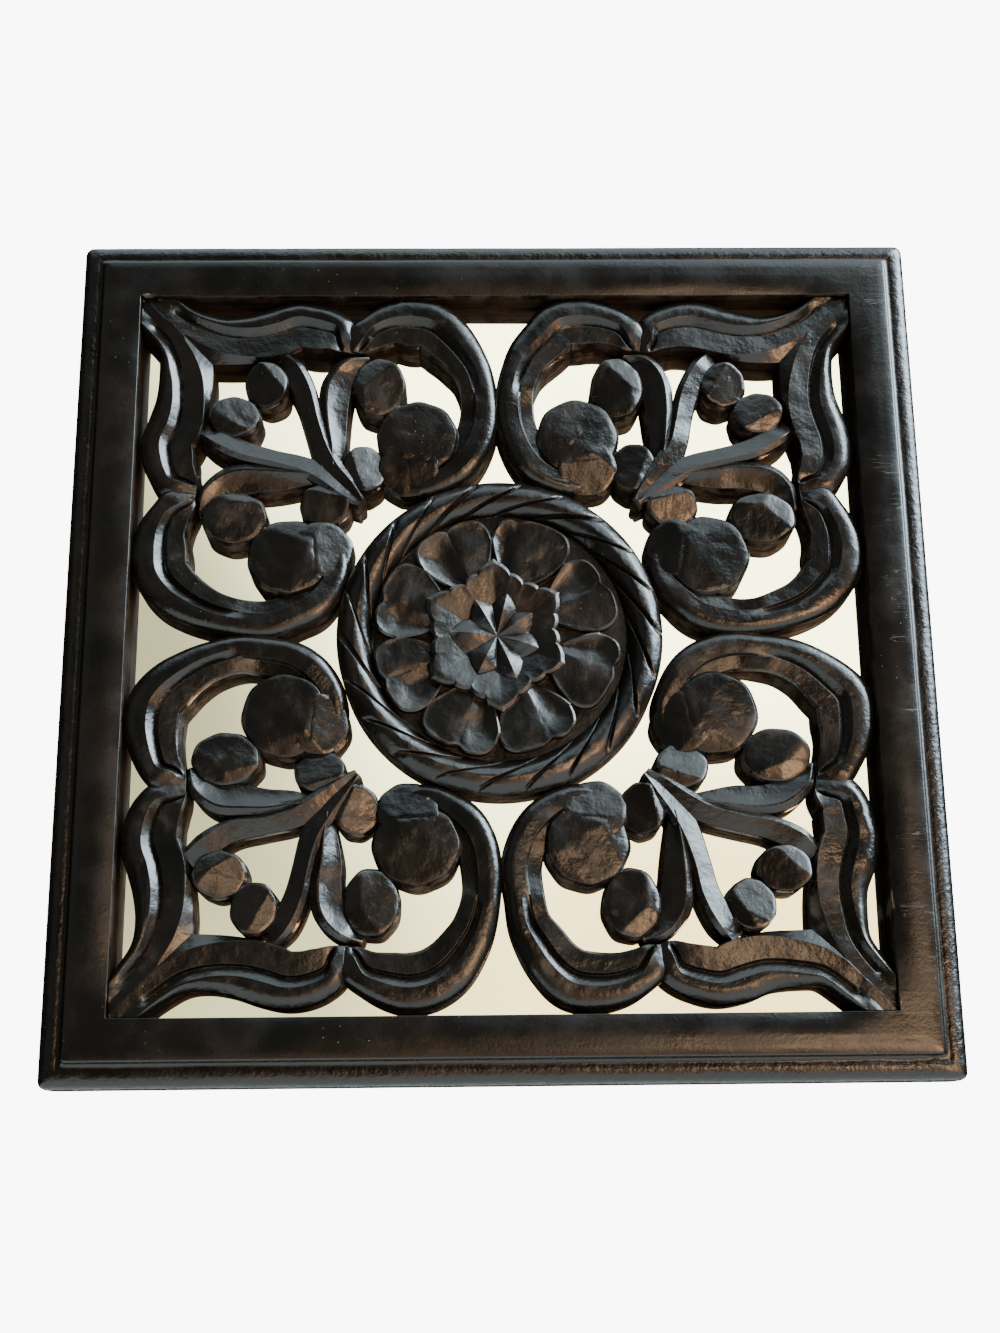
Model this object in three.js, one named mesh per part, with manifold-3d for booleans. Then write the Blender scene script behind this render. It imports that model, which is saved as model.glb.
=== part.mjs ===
// A square wall plaque: a carved and pierced wooden panel set in a moulded wooden frame, with a mirror
// and a thin backing board behind it. Each corner of the panel holds a heart of two scrolls and two ogee
// sides, with a sprig of buds inside it, and the middle is a rosette in a ring carved as a rope.
// Everything is drawn lying down, with the back at z = 0 and the carving facing +z, and the whole group is
// then turned so that the plaque hangs upright: +Z is up and the carved face looks along -Y.
import * as THREE from "three";
import { mergeVertices } from "three/addons/utils/BufferGeometryUtils.js";
import Module from "manifold-3d";

// Driving sizes, in millimetres
const PLAQUE_SIDE = 300;
const FRAME_DEPTH = 18.6;
const RAIL_WIDTH = 22;
const RAIL_MOULDING = 8.6;
const CORNER_ROUNDING = 2.6;
const EASED_EDGE_WIDTH = 3.8;
const EASED_EDGE_DROP = 2.6;
const EASED_EDGE_FADE = 20;
const REBATE_LIP = 4;
const BACKING_THICKNESS = 3;
const GLASS_THICKNESS = 3;
const CARVING_HEIGHT = 10.6;
const CARVING_LIFT = 0.8;
const FIT_GAP = 0.3;
const GLASS_CLEARANCE = 0.5;
const KEYHOLE_HEAD = 9;
const KEYHOLE_NECK = 4.6;
const KEYHOLE_RISE = 5;
const KEYHOLE_DEPTH = 8;
const KEYHOLE_SKIN = 2.6;
const KEYHOLE_LEAN = 1.2;
const ROPE_STRANDS = 22;
const PETALS = 8;
const FLOWER_PETALS = 7;
const STAR_POINTS = 6;
const SCALLOPS = 2;

// Sizes that follow from them
const PLAQUE_HALF = PLAQUE_SIDE / 2;
const OPENING_HALF = PLAQUE_HALF - RAIL_WIDTH;
const PANEL_HALF = OPENING_HALF - FIT_GAP;
const REBATE_HALF = OPENING_HALF + REBATE_LIP;
const GLASS_HALF = REBATE_HALF - GLASS_CLEARANCE;
const GLASS_BACK = BACKING_THICKNESS + FIT_GAP;
const REBATE_DEPTH = GLASS_BACK + GLASS_THICKNESS + FIT_GAP;
const PANEL_BACK = REBATE_DEPTH;

const wasm = await Module();
wasm.setup();
const { Manifold } = wasm;

// A closed three.js geometry as a solid
function solidOf(geometry) {
  geometry.deleteAttribute("normal");
  geometry.deleteAttribute("uv");
  const merged = mergeVertices(geometry, 1e-4);
  return new Manifold(
    new wasm.Mesh({
      numProp: 3,
      vertProperties: merged.attributes.position.array,
      triVerts: new Uint32Array(merged.index.array),
    }),
  );
}

// A solid as a three.js mesh
function meshOf(name, solid, material) {
  const { numProp, numVert, vertProperties, triVerts } = solid.getMesh();
  const position = new Float32Array(numVert * 3);
  for (let i = 0; i < numVert; i++)
    position.set(vertProperties.subarray(i * numProp, i * numProp + 3), i * 3);
  const geometry = new THREE.BufferGeometry();
  geometry.setAttribute("position", new THREE.BufferAttribute(position, 3));
  geometry.setIndex(new THREE.BufferAttribute(triVerts, 1));
  geometry.computeVertexNormals();
  const mesh = new THREE.Mesh(geometry, material);
  mesh.name = name;
  return mesh;
}

function box(width, height, depth, x, y, z) {
  const geometry = new THREE.BoxGeometry(width, height, depth);
  geometry.translate(x, y, z);
  return solidOf(geometry);
}

function cylinder(radius, height, sides, x, y, z) {
  const geometry = new THREE.CylinderGeometry(radius, radius, height, sides);
  geometry.rotateX(Math.PI / 2);
  geometry.translate(x, y, z + height / 2);
  return solidOf(geometry);
}

// Sections of points joined one to the next, every section drawn the same way round. An open run of them
// has both ends filled; a closed one goes on from the last section to the first.
function loft(sections, closed = false) {
  const size = sections[0].length;
  const count = sections.length;
  const index = [];
  for (let k = 0; k < (closed ? count : count - 1); k++)
    for (let i = 0; i < size; i++) {
      const [here, there] = [k * size, ((k + 1) % count) * size];
      const next = (i + 1) % size;
      index.push(here + i, here + next, there + next, here + i, there + next, there + i);
    }
  if (!closed) {
    const fill = (section) => {
      const outline = section.map((point) => new THREE.Vector2(point.across, point.z));
      return THREE.ShapeUtils.triangulateShape(outline, []);
    };
    const end = (count - 1) * size;
    for (const [a, b, c] of fill(sections[0])) index.push(a, c, b);
    for (const [a, b, c] of fill(sections.at(-1))) index.push(end + a, end + b, end + c);
  }
  const position = sections.flat().flatMap(({ x, y, z }) => [x, y, z]);
  const solid = solidOf(indexed(position, index));
  return solid.volume() > 0 ? solid : solidOf(indexed(position, index.reverse()));
}

function indexed(position, index) {
  const geometry = new THREE.BufferGeometry();
  geometry.setAttribute("position", new THREE.BufferAttribute(new Float32Array(position), 3));
  geometry.setIndex(index);
  return geometry;
}

// The panel's drawing is set out on a square of this half side, and carved at the panel's own size
const DRAWING_HALF = 127.7;
const DRAWN = PANEL_HALF / DRAWING_HALF;
const CUT = CARVING_HEIGHT;

// A strip carved along a curve. Each stop is [x, y, width], in the drawing, and the profile is a row of
// [share of the width from the outer edge, share of the carving's height], which may change along the way.
function strip(stops, profileAt, steps) {
  const curve = new THREE.CatmullRomCurve3(stops.map((stop) => new THREE.Vector3(...stop)));
  const rings = [];
  for (let k = 0; k <= steps; k++) {
    const along = k / steps;
    const { x, y, z: width } = curve.getPoint(along);
    const heading = curve.getTangent(along);
    const side = new THREE.Vector2(heading.y, -heading.x).normalize();
    const profile = profileAt(along);
    const top = profile.map(([share, height]) => [(0.5 - share) * width, height * CUT]);
    const foot = [[top.at(-1)[0], 0], [top[0][0], 0]];
    rings.push(
      [...top, ...foot].map(([across, height]) => ({
        across: across * DRAWN,
        x: (x + side.x * across) * DRAWN,
        y: (y + side.y * across) * DRAWN,
        z: height,
      })),
    );
  }
  return loft(rings);
}

// A bud: a round with a flat top and a chamfered edge, taller than wide where the drawing says so
const BUD_PROFILE = [[1, 0.82], [0.76, 1], [0, 1]];
function bud(x, y, halfWidth, halfHeight, top, sides) {
  const outline = [[0, 0], [1, 0], ...BUD_PROFILE.map(([share, height]) => [share, height * top])];
  const geometry = new THREE.LatheGeometry(
    outline.map(([share, height]) => new THREE.Vector2(share, height * CUT)),
    sides,
  );
  geometry.rotateX(Math.PI / 2);
  geometry.scale(halfWidth * DRAWN, halfHeight * DRAWN, 1);
  geometry.translate(x * DRAWN, y * DRAWN, 0);
  return solidOf(geometry);
}

// Carved profiles, from the outer edge to the inner one
const RIM = 0.66;
const { lerp, smoothstep } = THREE.MathUtils;

// The groove starts at the inner edge and swings out to the middle of the band. Its inner side is steep.
function scrollProfile(along) {
  const groove = lerp(0.88, 0.6, smoothstep(along, 0.06, 0.2));
  const sunk = along < 0.06 || along > 0.8 ? 0.06 : 0.25;
  return [[0, RIM], [0.26, 0.97], [groove, 0.97 - sunk], [groove + 0.05, 0.88], [1, 0.74]];
}

// Towards the corner the groove nears the outer edge and the inner edge is chamfered
function ogeeProfile(along) {
  const groove = lerp(lerp(0.86, 0.53, smoothstep(along, 0.06, 0.26)), 0.24, smoothstep(along, 0.4, 1));
  const chamfer = lerp(0.93, 0.74, smoothstep(along, 0.35, 0.6));
  const sunk = along < 0.1 ? 0.06 : 0.26;
  return [[0, RIM], [0.55 * groove, 0.97], [groove, 0.97 - sunk], [chamfer, 0.92], [1, 0.7]];
}

const tendrilProfile = () => [[0, RIM], [0.42, 0.96], [1, RIM]];
const leafProfile = () => [[0, 0.62], [0.72, 0.96], [1, 0.7]];

// The rope ring in the middle: radii in the drawing, heights as shares of the carving's height
const ROPE = { outer: 56.4, inner: 43.8, crest: 50.6, rim: 0.62, top: 1, foot: 0.5 };

// The scroll's tail lies along the ring: [distance outside the ring, angle in degrees, width]
const SCROLL_TAIL = [
  [15.2, 82.8, 14], [9.2, 78.1, 14], [5.2, 70.9, 13], [6.4, 64.4, 11], [10.8, 59.5, 7],
];
function tail() {
  return SCROLL_TAIL.map(([outside, degrees, width]) => {
    const angle = THREE.MathUtils.degToRad(degrees);
    const radius = ROPE.outer + outside;
    return [radius * Math.cos(angle), radius * Math.sin(angle), width];
  });
}

// The drawing of half a heart, above the diagonal from the plaque's middle to its corner
const SCROLL = [
  [58, 108.5, 5], [50, 111.8, 12.6], [44.5, 114.6, 15], [38, 117.2, 17.6], [31, 118.2, 19.8],
  [23.5, 117, 19.6], [17.4, 112, 18.4], [12.4, 105.5, 16.4], [8.6, 98.5, 14.4], [6.8, 90, 13.4],
  [6.5, 80, 14], ...tail(),
];
const OGEE = [
  [133, 131, 24], [124, 121.5, 23], [115.5, 115.3, 21.5], [106.5, 111.9, 19.4], [97, 111.2, 18.8],
  [87, 112.3, 19.2], [78, 114.8, 20.2], [71, 116.6, 19.6], [64.5, 116.2, 18.6], [59, 114.2, 17],
  [54.5, 111.6, 13.6], [46, 108, 5],
];
const TENDRIL = [
  [48.5, 48.5, 4], [52.8, 53.8, 8], [58.5, 61.3, 9.4], [63, 70, 8.4], [65.7, 80, 7.8], [68.2, 90, 8.6],
  [72.3, 98.3, 9], [77, 104.6, 7],
];
const LEAF = [
  [45.5, 103.5, 5], [52.5, 100.6, 9], [57, 94, 11.4], [58, 86, 11], [57.7, 78, 9.4], [57.6, 70, 6.6],
  [57.4, 62, 2.6],
];

// Rounds are [x, y, half width, half height]
const SCROLL_BALL = [28.5, 72.8, 14.7, 14.7];
const LEAF_BUD = [42.8, 92.2, 9.6, 11.8];
const CORNER_BUD = [81.6, 93.4, 8.2, 9];
const STEM_BUD = [47.6, 61, 7.9, 9.2];
const BALL_SIDES = 11;
const BUD_SIDES = 7;

// The facet below the scroll's ball, which falls towards the ring
const TERMINAL = { x: 30.5, y: 62.4, halfWidth: 11.6, halfHeight: 11, near: 0.95, far: 0.72, sides: 9 };
function terminal() {
  const { x, y, halfWidth, halfHeight, near, far, sides } = TERMINAL;
  const outline = [];
  for (let i = 0; i < sides; i++) {
    const angle = (2 * Math.PI * i) / sides;
    const height = lerp(near, far, (1 - Math.sin(angle)) / 2);
    outline.push([x + halfWidth * Math.cos(angle), y + halfHeight * Math.sin(angle), height]);
  }
  return mound(outline, [x, y, lerp(near, far, 0.5)]);
}

function halfHeart() {
  const parts = [
    strip(SCROLL, scrollProfile, 13),
    strip(OGEE, (along) => ogeeProfile(1 - along), 9),
    bud(...SCROLL_BALL, 0.97, BALL_SIDES),
    terminal(),
    bud(...LEAF_BUD, 0.95, BUD_SIDES),
    bud(...CORNER_BUD, 0.95, BUD_SIDES),
    bud(...STEM_BUD, 0.9, BUD_SIDES),
    strip(TENDRIL, tendrilProfile, 5),
    strip(LEAF, leafProfile, 5),
  ];
  const whole = Manifold.union(parts);
  const reach = 4 * PANEL_HALF;
  const below = box(reach, reach, reach, 0, -reach / 2, 0).rotate([0, 0, 45]);
  return whole.subtract(below);
}

// A heart is its half and that half with x and y exchanged. Points on the diagonal are put exactly on it,
// so that the two join without a seam.
function heart() {
  const { numProp, numVert, vertProperties, triVerts } = halfHeart().getMesh();
  const half = [];
  for (let i = 0; i < numVert; i++) {
    const [x, y, z] = vertProperties.subarray(i * numProp, i * numProp + 3);
    const onDiagonal = Math.abs(x - y) < 1e-3;
    half.push([x, onDiagonal ? x : y, z]);
  }
  const index = Array.from(triVerts);
  const twin = half.map(([x, y, z]) => [y, x, z]);
  return solidOf(indexed(half.flat(), index)).add(solidOf(indexed(twin.flat(), index.toReversed())));
}

const ROPE_SWEEP = THREE.MathUtils.degToRad(18);
const FLOOR_SHARE = 0.46;
const TURNED_SIDES = 44;

function ropeRing() {
  const { outer, inner, crest, rim, top, foot } = ROPE;
  const floor = [[inner, FLOOR_SHARE], [0, FLOOR_SHARE]];
  const profile = [[0, 0], [outer, 0], [outer, rim], [crest, top], [inner, foot], ...floor];
  const geometry = new THREE.LatheGeometry(
    profile.map(([radius, height]) => new THREE.Vector2(radius * DRAWN, height * CUT)),
    TURNED_SIDES,
  );
  geometry.rotateX(Math.PI / 2);
  return solidOf(geometry).subtract(Manifold.union(ropeCuts()));
}

// The cuts between the strands, each a vee that slants across the rope and follows its rounding.
// A stop is [radius, share of the sweep, height of the vee's bottom, half width at its top].
function ropeCuts() {
  const { outer, inner, crest, top } = ROPE;
  const stops = [[outer + 1.5, -0.1, 0.5, 1.7], [crest, 0.42, 0.82, 1.6], [inner - 0.5, 1, 0.42, 1.2]];
  const cuts = [];
  for (let k = 0; k < ROPE_STRANDS; k++) {
    const turn = (2 * Math.PI * k) / ROPE_STRANDS;
    const spine = stops.map(([radius, share]) =>
      new THREE.Vector2(radius, 0).rotateAround(new THREE.Vector2(), turn + share * ROPE_SWEEP));
    const heading = spine[2].clone().sub(spine[0]).normalize();
    const across = heading.rotateAround(new THREE.Vector2(), Math.PI / 2);
    const sections = stops.map(([, , bottom, wide], i) => {
      const corners = [[-wide, top + 0.1], [0, bottom], [wide, top + 0.1]];
      return corners.map(([offset, height]) => ({
        across: offset,
        x: (spine[i].x + across.x * offset) * DRAWN,
        y: (spine[i].y + across.y * offset) * DRAWN,
        z: height * CUT,
      }));
    });
    cuts.push(loft(sections));
  }
  return cuts;
}

// A low carved shape: its outline and one point in the middle, each with its height
function mound(outline, middle) {
  const count = outline.length;
  const position = [];
  const index = [];
  for (const [x, y, height] of outline) position.push(x * DRAWN, y * DRAWN, height * CUT);
  for (const [x, y] of outline) position.push(x * DRAWN, y * DRAWN, 0);
  for (const height of [middle[2], 0]) position.push(middle[0] * DRAWN, middle[1] * DRAWN, height * CUT);
  for (let i = 0; i < count; i++) {
    const next = (i + 1) % count;
    index.push(i, next, 2 * count, count + next, count + i, 2 * count + 1);
    index.push(i, count + i, count + next, i, count + next, next);
  }
  return solidOf(indexed(position, index));
}

const PETAL = { root: 17, shoulder: 34, rim: 0.82, dish: 0.68, fill: 0.965, deepest: 32 };
// Half of the petal's far edge: [share of its half angle, radius], from the notch between the lobes
const PETAL_LOBE = [[0, 41], [0.2, 42.6], [0.55, 43], [0.86, 41]];

// A heart-shaped petal with a dished face, its two lobes at the far end
function petal(turn) {
  const { root, shoulder, rim, dish, fill, deepest } = PETAL;
  const half = [...PETAL_LOBE, [1, shoulder], [1, root]];
  const edge = [...half.toReversed().map(([share, radius]) => [-share, radius]), ...half.slice(1)];
  const place = (share, radius) => {
    const angle = turn + (share * fill * Math.PI) / PETALS;
    return [radius * Math.cos(angle), radius * Math.sin(angle)];
  };
  const outline = edge.map(([share, radius]) => [...place(share, radius), rim]);
  return mound(outline, [...place(0.1, deepest), dish]);
}

const STAR = { tip: 26.6, waist: 21.2, scallop: 0.9, rim: 0.98, dish: 0.7, turn: 4.5 };

// The six-pointed leaf star, a shallow dish with scalloped sides
function star() {
  const { tip, waist, scallop, rim, dish, turn } = STAR;
  const outline = [];
  const steps = SCALLOPS * 2;
  for (let i = 0; i < STAR_POINTS * steps; i++) {
    const share = (i % steps) / steps;
    const angle = THREE.MathUtils.degToRad(turn) + Math.PI / 2 + (2 * Math.PI * i) / (STAR_POINTS * steps);
    const radius = lerp(waist, tip, Math.abs(2 * share - 1)) + (i % 2) * scallop;
    outline.push([radius * Math.cos(angle), radius * Math.sin(angle), rim]);
  }
  return mound(outline, [0, 0, dish]);
}

const FLOWER = { tip: 15.4, valley: 10.5, ridge: 1, cut: 0.78, middle: 0.84 };

// The flower in the middle, each petal a ridge with a vee between it and the next
function flower() {
  const { tip, valley, ridge, cut, middle } = FLOWER;
  const outline = [];
  for (let i = 0; i < 2 * FLOWER_PETALS; i++) {
    const angle = (Math.PI * i) / FLOWER_PETALS;
    const [radius, height] = i % 2 ? [valley, cut] : [tip, ridge];
    outline.push([radius * Math.cos(angle), radius * Math.sin(angle), height]);
  }
  return mound(outline, [0, 0, middle]);
}

function carvedPanel() {
  const quarter = heart();
  const mirrored = [quarter.mirror([1, 0, 0]), quarter.mirror([0, 1, 0])];
  const hearts = [quarter, ...mirrored, quarter.rotate([0, 0, 180])];
  const petals = [];
  for (let k = 0; k < PETALS; k++) petals.push(petal((2 * Math.PI * (k + 0.5)) / PETALS));
  const whole = Manifold.union([...hearts, ropeRing(), ...petals, star(), flower()]);
  const blank = box(2 * PANEL_HALF, 2 * PANEL_HALF, 2 * CUT, 0, 0, CUT);
  return whole.translate([0, CARVING_LIFT, 0]).intersect(blank).translate([0, 0, PANEL_BACK]);
}

const UNEASED = 0.06;

// The rail's section, from the opening to the outside: [distance from the plaque's middle, height].
// eased is the share of the rounding that the opening's edge has there.
function railSection(eased) {
  const field = PLAQUE_HALF - RAIL_MOULDING;
  const edge = OPENING_HALF;
  const [wide, drop] = [EASED_EDGE_WIDTH * eased, EASED_EDGE_DROP * eased];
  const moulding = [
    [0, 0], [0.04, -0.16], [0.2, -0.32], [0.42, -0.36], [0.66, -0.4], [0.87, -0.5], [1, -0.74],
  ];
  return [
    [edge, REBATE_DEPTH],
    [edge, FRAME_DEPTH - drop],
    [edge + 0.35 * wide, FRAME_DEPTH - 0.42 * drop],
    [edge + wide, FRAME_DEPTH],
    ...moulding.map(([out, down]) => [field + out * RAIL_MOULDING, FRAME_DEPTH + down * RAIL_MOULDING]),
    [PLAQUE_HALF, 0],
    [REBATE_HALF, 0],
    [REBATE_HALF, REBATE_DEPTH],
  ];
}

// The frame's section taken round the square, mitred at the corners. The eased edge dies out towards them.
function rails() {
  const clear = OPENING_HALF - 1;
  const stops = [-clear, -clear + EASED_EDGE_FADE, clear - EASED_EDGE_FADE, clear];
  const sections = [];
  for (let side = 0; side < 4; side++) {
    const turn = (side * Math.PI) / 2;
    const [cos, sin] = [Math.round(Math.cos(turn)), Math.round(Math.sin(turn))];
    const place = (x, out, z) => ({ x: x * cos - out * sin, y: x * sin + out * cos, z });
    sections.push(railSection(UNEASED).map(([out, z]) => place(out, out, z)));
    for (const x of stops.toReversed()) {
      const eased = Math.abs(x) < clear ? 1 : UNEASED;
      sections.push(railSection(eased).map(([out, z]) => place(x, out, z)));
    }
  }
  return loft(sections, true);
}

// The keyhole in the back of the top rail: a head that a screw goes in by, and a slot that it slides up
function keyhole() {
  const middle = (REBATE_HALF + PLAQUE_HALF - KEYHOLE_RISE - KEYHOLE_LEAN) / 2;
  const sides = 20;
  const way = middle + KEYHOLE_RISE / 2;
  const head = cylinder(KEYHOLE_HEAD / 2, KEYHOLE_DEPTH + 1, sides, 0, middle, -1);
  const neck = cylinder(KEYHOLE_NECK / 2, KEYHOLE_DEPTH, sides, 0, middle + KEYHOLE_RISE, -1);
  const slot = box(KEYHOLE_NECK, KEYHOLE_RISE, KEYHOLE_DEPTH, 0, way, KEYHOLE_DEPTH / 2 - 1);
  const depth = KEYHOLE_DEPTH - KEYHOLE_SKIN;
  const runway = box(KEYHOLE_HEAD, KEYHOLE_RISE, depth, 0, way, KEYHOLE_SKIN + depth / 2);
  const end = cylinder(KEYHOLE_HEAD / 2, depth, sides, 0, middle + KEYHOLE_RISE, KEYHOLE_SKIN);
  return Manifold.union([head, neck, slot, runway, end]);
}

function frame() {
  const half = PLAQUE_HALF;
  const round = CORNER_ROUNDING;
  const outline = new THREE.Shape();
  outline.absarc(half - round, half - round, round, 0, Math.PI / 2);
  outline.absarc(-half + round, half - round, round, Math.PI / 2, Math.PI);
  outline.absarc(-half + round, -half + round, round, Math.PI, 1.5 * Math.PI);
  outline.absarc(half - round, -half + round, round, 1.5 * Math.PI, 2 * Math.PI);
  const blank = solidOf(
    new THREE.ExtrudeGeometry(outline, { depth: FRAME_DEPTH, bevelEnabled: false, curveSegments: 4 }),
  );
  return rails().intersect(blank).subtract(keyhole());
}

const blackWood = new THREE.MeshStandardMaterial({ color: 0x1d1916, roughness: 0.42, metalness: 0 });
const silvered = new THREE.MeshStandardMaterial({ color: 0xe8e8e2, roughness: 0.03, metalness: 1 });
const hardboard = new THREE.MeshStandardMaterial({ color: 0x5f4630, roughness: 0.85, metalness: 0 });

const glassSide = 2 * GLASS_HALF;
const glass = box(glassSide, glassSide, GLASS_THICKNESS, 0, 0, GLASS_BACK + GLASS_THICKNESS / 2);
const backing = box(glassSide, glassSide, BACKING_THICKNESS, 0, 0, BACKING_THICKNESS / 2);

const plaque = new THREE.Group();
plaque.add(meshOf("frame", frame(), blackWood));
plaque.add(meshOf("carved_panel", carvedPanel(), blackWood));
plaque.add(meshOf("mirror_glass", glass, silvered));
plaque.add(meshOf("backing_board", backing, hardboard));
plaque.rotation.x = Math.PI / 2;

export default plaque;
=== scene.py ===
"""A square wall plaque: a black carved and pierced wooden panel in a moulded frame, over a mirror.

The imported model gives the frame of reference. The frame and the carved panel are made here again with their
rounder, hand-cut surfaces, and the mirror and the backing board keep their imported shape.
Carving is drawn lying down, in millimetres, with x to the right, y up the plaque and z out of its face. It is
then stood up and brought to metres.
"""
import math
import random

import bmesh
import bpy
from mathutils import Euler, Matrix, Vector, noise


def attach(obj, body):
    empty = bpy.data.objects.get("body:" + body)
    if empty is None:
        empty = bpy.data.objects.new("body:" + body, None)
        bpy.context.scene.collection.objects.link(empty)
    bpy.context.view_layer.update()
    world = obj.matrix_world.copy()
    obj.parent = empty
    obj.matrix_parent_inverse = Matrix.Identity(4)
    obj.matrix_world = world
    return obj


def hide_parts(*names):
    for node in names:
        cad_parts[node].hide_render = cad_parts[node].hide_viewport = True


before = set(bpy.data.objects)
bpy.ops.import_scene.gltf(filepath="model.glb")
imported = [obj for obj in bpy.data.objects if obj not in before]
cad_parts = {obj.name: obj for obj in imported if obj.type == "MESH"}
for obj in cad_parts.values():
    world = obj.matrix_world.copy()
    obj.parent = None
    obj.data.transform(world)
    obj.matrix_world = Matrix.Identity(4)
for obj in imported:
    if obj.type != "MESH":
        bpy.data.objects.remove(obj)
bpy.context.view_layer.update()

MM = 0.001
FRAME_DEPTH = 18.6
PLAQUE_HALF = 150.0
OPENING_HALF = 128.0
MOULDING = 8.6
REBATE_HALF = 132.0
REBATE_DEPTH = 6.6
PANEL_HALF = 127.65
PANEL_BACK = 6.6
CARVING = 10.6
LIFT = 0.8

# Lying down to upright: z out of the face becomes -Y, y becomes +Z
STAND = Matrix(((MM, 0, 0, 0), (0, 0, -MM, 0), (0, MM, 0, 0), (0, 0, 0, 1)))


def lerp(a, b, t):
    return a + (b - a) * t


def clamp(value, low, high):
    return min(high, max(low, value))


def ease(t):
    t = clamp(t, 0.0, 1.0)
    return t * t * (3 - 2 * t)


def spline(stops, t):
    """A point on a smooth curve through the stops, t from 0 to 1."""
    last = len(stops) - 1
    at = min(t * last, last - 1e-9)
    i = int(at)
    f = at - i
    p = [Vector(stops[clamp(k, 0, last)]) for k in (i - 1, i, i + 1, i + 2)]
    if i == 0:
        p[0] = 2 * p[1] - p[2]
    if i + 1 == last:
        p[3] = 2 * p[2] - p[1]
    return 0.5 * (2 * p[1] + (p[2] - p[0]) * f + (2 * p[0] - 5 * p[1] + 4 * p[2] - p[3]) * f * f
                  + (3 * p[1] - p[0] - 3 * p[2] + p[3]) * f ** 3)


def facets(points, share):
    """Height on a profile of [share, height, bulge of the facet that starts there]."""
    for (a, high, bulge), (b, low, _) in zip(points, points[1:]):
        if share <= b:
            t = (share - a) / (b - a)
            return lerp(high, low, t) + 4 * bulge * t * (1 - t)
    return points[-1][1]


def columns(points, fine):
    """The shares at which a profile is cut: every corner, and each facet divided."""
    shares = []
    for (a, _, _), (b, _, _) in zip(points, points[1:]):
        cuts = max(1, round((b - a) * fine))
        shares += [lerp(a, b, k / cuts) for k in range(cuts)]
    return shares + [1.0]


def skirt(bm):
    """Closes a relief: its edge goes straight down to the back, which is flat."""
    down = bmesh.ops.extrude_face_region(bm, geom=bm.faces[:])
    for v in down["geom"]:
        if isinstance(v, bmesh.types.BMVert):
            v.co.z = 0.0


def ribbon(stops, profile_at, steps, fine=16, grain=0.0, seed=0.0, sinks=((1, 0), (1, 0))):
    """A strip of relief carved along a curve of [x, y, width]. Each end can slope down into its neighbour:
    [share of the length, share of the height]."""
    base = profile_at(0.5)
    shares = columns(base, fine)
    bm = bmesh.new()
    grid = bmesh.ops.create_grid(bm, x_segments=steps, y_segments=len(shares) - 1, size=0.5)
    for v in grid["verts"]:
        along = clamp(v.co.x + 0.5, 0.0, 1.0)
        column = round((v.co.y + 0.5) * (len(shares) - 1))
        profile = profile_at(along)
        share = warp(base, profile, shares[column])
        x, y, width = spline(stops, along)
        ahead, behind = spline(stops, min(1, along + 0.01)), spline(stops, max(0, along - 0.01))
        heading = (ahead - behind).xy.normalized()
        across = (0.5 - share) * width
        spot = Vector((x + heading.y * across, y - heading.x * across, 0))
        height = facets(profile, share)
        for (reach, fall), left in zip(sinks, (along, 1 - along)):
            height -= fall * max(0.0, 1 - left / reach)
        tool = noise.noise(Vector((spot.x * 0.16, spot.y * 0.16, seed))) * grain
        v.co = (spot.x, spot.y, height * CARVING + tool)
    skirt(bm)
    return bm


def warp(base, profile, share):
    """Moves a column of the base profile to the same corner of another profile."""
    for (a, _, _), (b, _, _), (c, _, _), (d, _, _) in zip(base, base[1:], profile, profile[1:]):
        if share <= b:
            return lerp(c, d, (share - a) / (b - a))
    return 1.0


def disc(place, rows, segments):
    """A closed relief over a round base: place(share of the way out, angle) gives each point."""
    bm = bmesh.new()
    line = [bm.verts.new((k / rows, 0, 1)) for k in range(rows + 1)]
    edges = [bm.edges.new(pair) for pair in zip(line, line[1:])]
    bmesh.ops.spin(bm, geom=line + edges, axis=(0, 0, 1), cent=(0, 0, 0), angle=2 * math.pi,
                   steps=segments, use_merge=True, use_duplicate=False)
    bmesh.ops.remove_doubles(bm, verts=bm.verts, dist=1e-5)
    for v in bm.verts:
        v.co = place(v.co.xy.length, math.atan2(v.co.y, v.co.x))
    skirt(bm)
    return bm


def bud(x, y, wide, high, top, cuts, seed, segments=48, loose=1.0):
    """A bud with a flat top and flat cuts at its sides: [direction in degrees, start, drop at the edge]."""
    rng = random.Random(seed)
    lean = rng.uniform(0, 2 * math.pi)
    planes = [(math.radians(way + rng.gauss(0, 8 * loose)), start + rng.gauss(0, 0.06 * loose),
               drop * (1 + rng.uniform(-0.15, 0.2) * loose))
              for way, start, drop in cuts]
    corners = rng.randint(7, 9)

    def place(share, angle):
        height = top + 0.012 * share * math.cos(angle - lean)
        for way, start, drop in planes:
            past = (share * math.cos(angle - way) - start) / (1 - start)
            height = min(height, top - drop * past) if past > 0 else height
        height -= 0.03 * ease((share - 0.9) / 0.05) + 0.14 * ease((share - 0.96) / 0.04)
        flat = 1 - 0.014 * math.cos(corners * (angle - lean))
        across, up = wide * flat * share, high * flat * share
        spot = Vector((x + across * math.cos(angle), y + up * math.sin(angle), 0))
        tool = 0.13 * noise.noise(Vector((spot.x * 0.22, spot.y * 0.22, seed)))
        return (spot.x, spot.y, height * CARVING + tool)

    return disc(place, 14, segments)


# Profiles across a strip: [share of the width from the outer edge, share of the carving's height, bulge]
RIM = 0.66


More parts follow.
